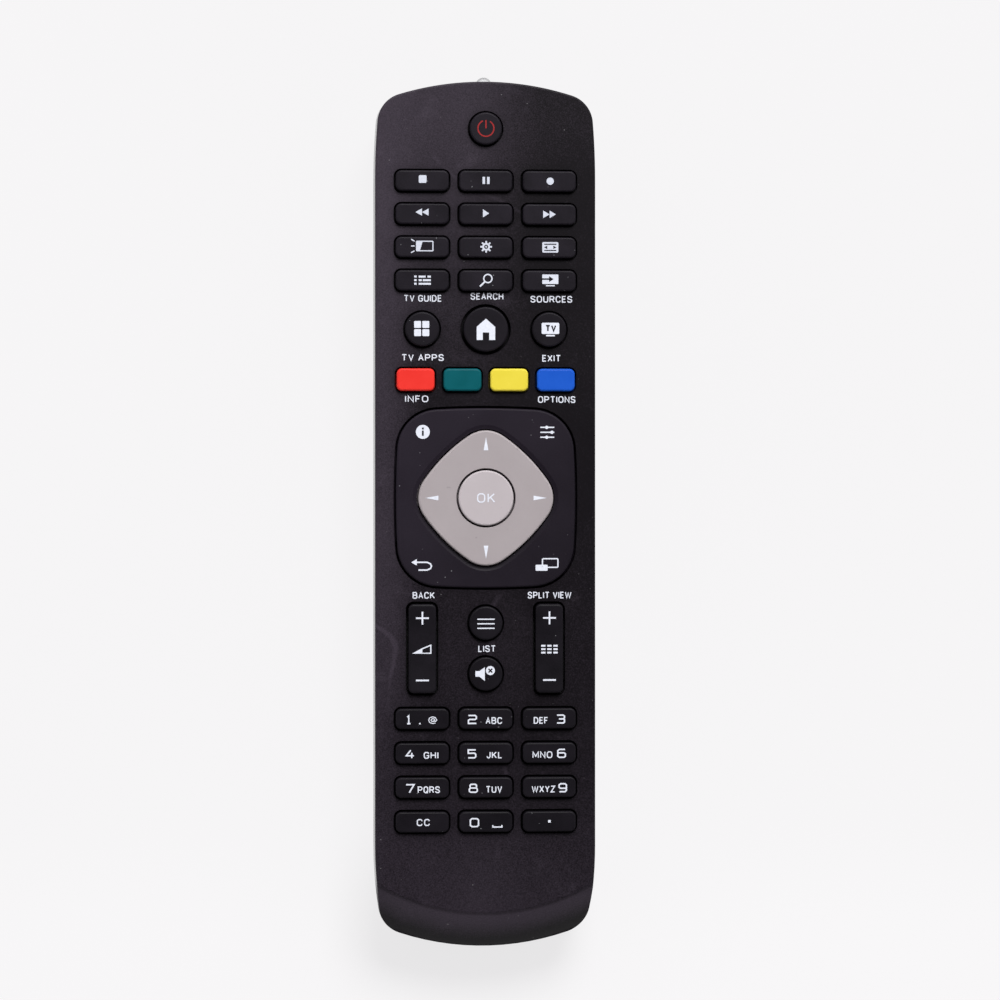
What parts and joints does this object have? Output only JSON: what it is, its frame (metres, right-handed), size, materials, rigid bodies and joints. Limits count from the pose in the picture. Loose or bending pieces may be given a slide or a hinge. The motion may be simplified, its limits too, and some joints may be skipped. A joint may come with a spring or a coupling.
{
  "type": "remote control",
  "caption": "Slim black television remote control with a key face, a tilting navigation ring, two rockers and a sliding battery door.",
  "frame": {"origin": "on the surface the remote lies on, under the middle of its case", "axes": "+Z out of the key face, +Y along the case towards the infrared end, X across it"},
  "size_m": [0.0516, 0.2037, 0.0239],
  "materials": {
    "matte_black": "fine matte grain, purple-brown black",
    "gloss_black": "semi-gloss moulded black",
    "key_rubber": "bluish black, satin, printed legends",
    "grey_plastic": "warm light grey, satin",
    "light_grey_plastic": "lighter warm grey, satin",
    "red_plastic": "coral red, satin",
    "green_plastic": "dark teal green, satin",
    "yellow_plastic": "yellow, satin",
    "blue_plastic": "blue, satin",
    "silicone": "grey silicone rubber",
    "board": "green solder mask",
    "carbon": "printed carbon",
    "clear_lens": "clear moulded dome",
    "chip_black": "moulded package",
    "ceramic": "ceramic and resin",
    "can_metal": "sleeved can",
    "cell_wrap": "plain wrapped cell, bare",
    "spring_steel": "plated spring steel"
  },
  "bodies": {
    "casing": {"battery_1": "cell_wrap", "battery_2": "cell_wrap", "bridge_contact": "spring_steel", "capacitor": "can_metal", "circuit_board": "board", "contact_pads": "carbon", "controller_chip": "chip_black", "front_cover": "matte_black", "ir_led": "clear_lens", "key_mat": "silicone", "negative_contact": "spring_steel", "positive_contact": "spring_steel", "rear_shell": "gloss_black", "resonator": "ceramic", "smd_parts": "ceramic", "transistor": "chip_black"},
    "key_0": {"key_0": "key_rubber"},
    "key_1": {"key_1": "key_rubber"},
    "key_2": {"key_2": "key_rubber"},
    "key_3": {"key_3": "key_rubber"},
    "key_4": {"key_4": "key_rubber"},
    "key_5": {"key_5": "key_rubber"},
    "key_6": {"key_6": "key_rubber"},
    "key_7": {"key_7": "key_rubber"},
    "key_8": {"key_8": "key_rubber"},
    "key_9": {"key_9": "key_rubber"},
    "key_apps": {"key_apps": "key_rubber"},
    "key_blue": {"key_blue": "blue_plastic"},
    "key_captions": {"key_captions": "key_rubber"},
    "key_dot": {"key_dot": "key_rubber"},
    "key_exit": {"key_exit": "key_rubber"},
    "key_forward": {"key_forward": "key_rubber"},
    "key_green": {"key_green": "green_plastic"},
    "key_guide": {"key_guide": "key_rubber"},
    "key_home": {"key_home": "key_rubber"},
    "key_lamp": {"key_lamp": "key_rubber"},
    "key_list": {"key_list": "key_rubber"},
    "key_mute": {"key_mute": "key_rubber"},
    "key_ok": {"key_ok": "light_grey_plastic"},
    "key_pause": {"key_pause": "key_rubber"},
    "key_picture": {"key_picture": "key_rubber"},
    "key_play": {"key_play": "key_rubber"},
    "key_power": {"key_power": "key_rubber"},
    "key_record": {"key_record": "key_rubber"},
    "key_red": {"key_red": "red_plastic"},
    "key_rewind": {"key_rewind": "key_rubber"},
    "key_search": {"key_search": "key_rubber"},
    "key_settings": {"key_settings": "key_rubber"},
    "key_source": {"key_source": "key_rubber"},
    "key_stop": {"key_stop": "key_rubber"},
    "key_yellow": {"key_yellow": "yellow_plastic"},
    "volume_rocker": {"volume_rocker": "key_rubber"},
    "channel_rocker": {"channel_rocker": "key_rubber"},
    "corner_plate": {"corner_plate": "key_rubber"},
    "navigation_ring": {"navigation_ring": "grey_plastic"},
    "ring_rocker": {"ring_rocker": "silicone"},
    "plate_rocker": {"plate_rocker": "silicone"},
    "battery_door": {"battery_door": "gloss_black"}
  },
  "joints": [
    {"name": "key_0_press", "type": "slide", "parent": "casing", "child": "key_0", "axis": [0, 0, -1], "range_m": [0, 0.0008], "stiffness_N_per_m": 600, "springref_m": -0.0008},
    {"name": "key_1_press", "type": "slide", "parent": "casing", "child": "key_1", "axis": [0, 0, -1], "range_m": [0, 0.0008], "stiffness_N_per_m": 600, "springref_m": -0.0008},
    {"name": "key_2_press", "type": "slide", "parent": "casing", "child": "key_2", "axis": [0, 0, -1], "range_m": [0, 0.0008], "stiffness_N_per_m": 600, "springref_m": -0.0008},
    {"name": "key_3_press", "type": "slide", "parent": "casing", "child": "key_3", "axis": [0, 0, -1], "range_m": [0, 0.0008], "stiffness_N_per_m": 600, "springref_m": -0.0008},
    {"name": "key_4_press", "type": "slide", "parent": "casing", "child": "key_4", "axis": [0, 0, -1], "range_m": [0, 0.0008], "stiffness_N_per_m": 600, "springref_m": -0.0008},
    {"name": "key_5_press", "type": "slide", "parent": "casing", "child": "key_5", "axis": [0, 0, -1], "range_m": [0, 0.0008], "stiffness_N_per_m": 600, "springref_m": -0.0008},
    {"name": "key_6_press", "type": "slide", "parent": "casing", "child": "key_6", "axis": [0, 0, -1], "range_m": [0, 0.0008], "stiffness_N_per_m": 600, "springref_m": -0.0008},
    {"name": "key_7_press", "type": "slide", "parent": "casing", "child": "key_7", "axis": [0, 0, -1], "range_m": [0, 0.0008], "stiffness_N_per_m": 600, "springref_m": -0.0008},
    {"name": "key_8_press", "type": "slide", "parent": "casing", "child": "key_8", "axis": [0, 0, -1], "range_m": [0, 0.0008], "stiffness_N_per_m": 600, "springref_m": -0.0008},
    {"name": "key_9_press", "type": "slide", "parent": "casing", "child": "key_9", "axis": [0, 0, -1], "range_m": [0, 0.0008], "stiffness_N_per_m": 600, "springref_m": -0.0008},
    {"name": "key_apps_press", "type": "slide", "parent": "casing", "child": "key_apps", "axis": [0, 0, -1], "range_m": [0, 0.0008], "stiffness_N_per_m": 600, "springref_m": -0.0008},
    {"name": "key_blue_press", "type": "slide", "parent": "casing", "child": "key_blue", "axis": [0, 0, -1], "range_m": [0, 0.0008], "stiffness_N_per_m": 600, "springref_m": -0.0008},
    {"name": "key_captions_press", "type": "slide", "parent": "casing", "child": "key_captions", "axis": [0, 0, -1], "range_m": [0, 0.0008], "stiffness_N_per_m": 600, "springref_m": -0.0008},
    {"name": "key_dot_press", "type": "slide", "parent": "casing", "child": "key_dot", "axis": [0, 0, -1], "range_m": [0, 0.0008], "stiffness_N_per_m": 600, "springref_m": -0.0008},
    {"name": "key_exit_press", "type": "slide", "parent": "casing", "child": "key_exit", "axis": [0, 0, -1], "range_m": [0, 0.0008], "stiffness_N_per_m": 600, "springref_m": -0.0008},
    {"name": "key_forward_press", "type": "slide", "parent": "casing", "child": "key_forward", "axis": [0, 0, -1], "range_m": [0, 0.0008], "stiffness_N_per_m": 600, "springref_m": -0.0008},
    {"name": "key_green_press", "type": "slide", "parent": "casing", "child": "key_green", "axis": [0, 0, -1], "range_m": [0, 0.0008], "stiffness_N_per_m": 600, "springref_m": -0.0008},
    {"name": "key_guide_press", "type": "slide", "parent": "casing", "child": "key_guide", "axis": [0, 0, -1], "range_m": [0, 0.0008], "stiffness_N_per_m": 600, "springref_m": -0.0008},
    {"name": "key_home_press", "type": "slide", "parent": "casing", "child": "key_home", "axis": [0, 0, -1], "range_m": [0, 0.0008], "stiffness_N_per_m": 600, "springref_m": -0.0008},
    {"name": "key_lamp_press", "type": "slide", "parent": "casing", "child": "key_lamp", "axis": [0, 0, -1], "range_m": [0, 0.0008], "stiffness_N_per_m": 600, "springref_m": -0.0008},
    {"name": "key_list_press", "type": "slide", "parent": "casing", "child": "key_list", "axis": [0, 0, -1], "range_m": [0, 0.0008], "stiffness_N_per_m": 600, "springref_m": -0.0008},
    {"name": "key_mute_press", "type": "slide", "parent": "casing", "child": "key_mute", "axis": [0, 0, -1], "range_m": [0, 0.0008], "stiffness_N_per_m": 600, "springref_m": -0.0008},
    {"name": "key_ok_press", "type": "slide", "parent": "casing", "child": "key_ok", "axis": [0, 0, -1], "range_m": [0, 0.0008], "stiffness_N_per_m": 600, "springref_m": -0.0008},
    {"name": "key_pause_press", "type": "slide", "parent": "casing", "child": "key_pause", "axis": [0, 0, -1], "range_m": [0, 0.0008], "stiffness_N_per_m": 600, "springref_m": -0.0008},
    {"name": "key_picture_press", "type": "slide", "parent": "casing", "child": "key_picture", "axis": [0, 0, -1], "range_m": [0, 0.0008], "stiffness_N_per_m": 600, "springref_m": -0.0008},
    {"name": "key_play_press", "type": "slide", "parent": "casing", "child": "key_play", "axis": [0, 0, -1], "range_m": [0, 0.0008], "stiffness_N_per_m": 600, "springref_m": -0.0008},
    {"name": "key_power_press", "type": "slide", "parent": "casing", "child": "key_power", "axis": [0, 0, -1], "range_m": [0, 0.0008], "stiffness_N_per_m": 600, "springref_m": -0.0008},
    {"name": "key_record_press", "type": "slide", "parent": "casing", "child": "key_record", "axis": [0, 0, -1], "range_m": [0, 0.0008], "stiffness_N_per_m": 600, "springref_m": -0.0008},
    {"name": "key_red_press", "type": "slide", "parent": "casing", "child": "key_red", "axis": [0, 0, -1], "range_m": [0, 0.0008], "stiffness_N_per_m": 600, "springref_m": -0.0008},
    {"name": "key_rewind_press", "type": "slide", "parent": "casing", "child": "key_rewind", "axis": [0, 0, -1], "range_m": [0, 0.0008], "stiffness_N_per_m": 600, "springref_m": -0.0008},
    {"name": "key_search_press", "type": "slide", "parent": "casing", "child": "key_search", "axis": [0, 0, -1], "range_m": [0, 0.0008], "stiffness_N_per_m": 600, "springref_m": -0.0008},
    {"name": "key_settings_press", "type": "slide", "parent": "casing", "child": "key_settings", "axis": [0, 0, -1], "range_m": [0, 0.0008], "stiffness_N_per_m": 600, "springref_m": -0.0008},
    {"name": "key_source_press", "type": "slide", "parent": "casing", "child": "key_source", "axis": [0, 0, -1], "range_m": [0, 0.0008], "stiffness_N_per_m": 600, "springref_m": -0.0008},
    {"name": "key_stop_press", "type": "slide", "parent": "casing", "child": "key_stop", "axis": [0, 0, -1], "range_m": [0, 0.0008], "stiffness_N_per_m": 600, "springref_m": -0.0008},
    {"name": "key_yellow_press", "type": "slide", "parent": "casing", "child": "key_yellow", "axis": [0, 0, -1], "range_m": [0, 0.0008], "stiffness_N_per_m": 600, "springref_m": -0.0008},
    {"name": "volume_rocker_tilt", "type": "hinge", "parent": "casing", "child": "volume_rocker", "pos_m": [-0.01475, -0.0315, 0.0196], "axis": [1, 0, 0], "range_deg": [-3, 3], "stiffness_Nm_per_rad": 0.06},
    {"name": "channel_rocker_tilt", "type": "hinge", "parent": "casing", "child": "channel_rocker", "pos_m": [0.01475, -0.0315, 0.0196], "axis": [1, 0, 0], "range_deg": [-3, 3], "stiffness_Nm_per_rad": 0.06},
    {"name": "ring_up_down", "type": "hinge", "parent": "casing", "child": "ring_rocker", "pos_m": [0, 0.0034, 0.0186], "axis": [1, 0, 0], "range_deg": [-2.5, 2.5], "stiffness_Nm_per_rad": 0.08},
    {"name": "ring_left_right", "type": "hinge", "parent": "ring_rocker", "child": "navigation_ring", "pos_m": [0, 0.0034, 0.02], "axis": [0, 1, 0], "range_deg": [-2.5, 2.5], "stiffness_Nm_per_rad": 0.08},
    {"name": "plate_first_diagonal", "type": "hinge", "parent": "casing", "child": "plate_rocker", "pos_m": [0, 0.0034, 0.0186], "axis": [0.7071, 0.7071, 0], "range_deg": [-1.2, 1.2], "stiffness_Nm_per_rad": 0.15},
    {"name": "plate_second_diagonal", "type": "hinge", "parent": "plate_rocker", "child": "corner_plate", "pos_m": [0, 0.0034, 0.02], "axis": [-0.7071, 0.7071, 0], "range_deg": [-1.2, 1.2], "stiffness_Nm_per_rad": 0.15},
    {"name": "door_slide", "type": "slide", "parent": "casing", "child": "battery_door", "axis": [0, -1, 0], "range_m": [0, 0.008]}
  ]
}
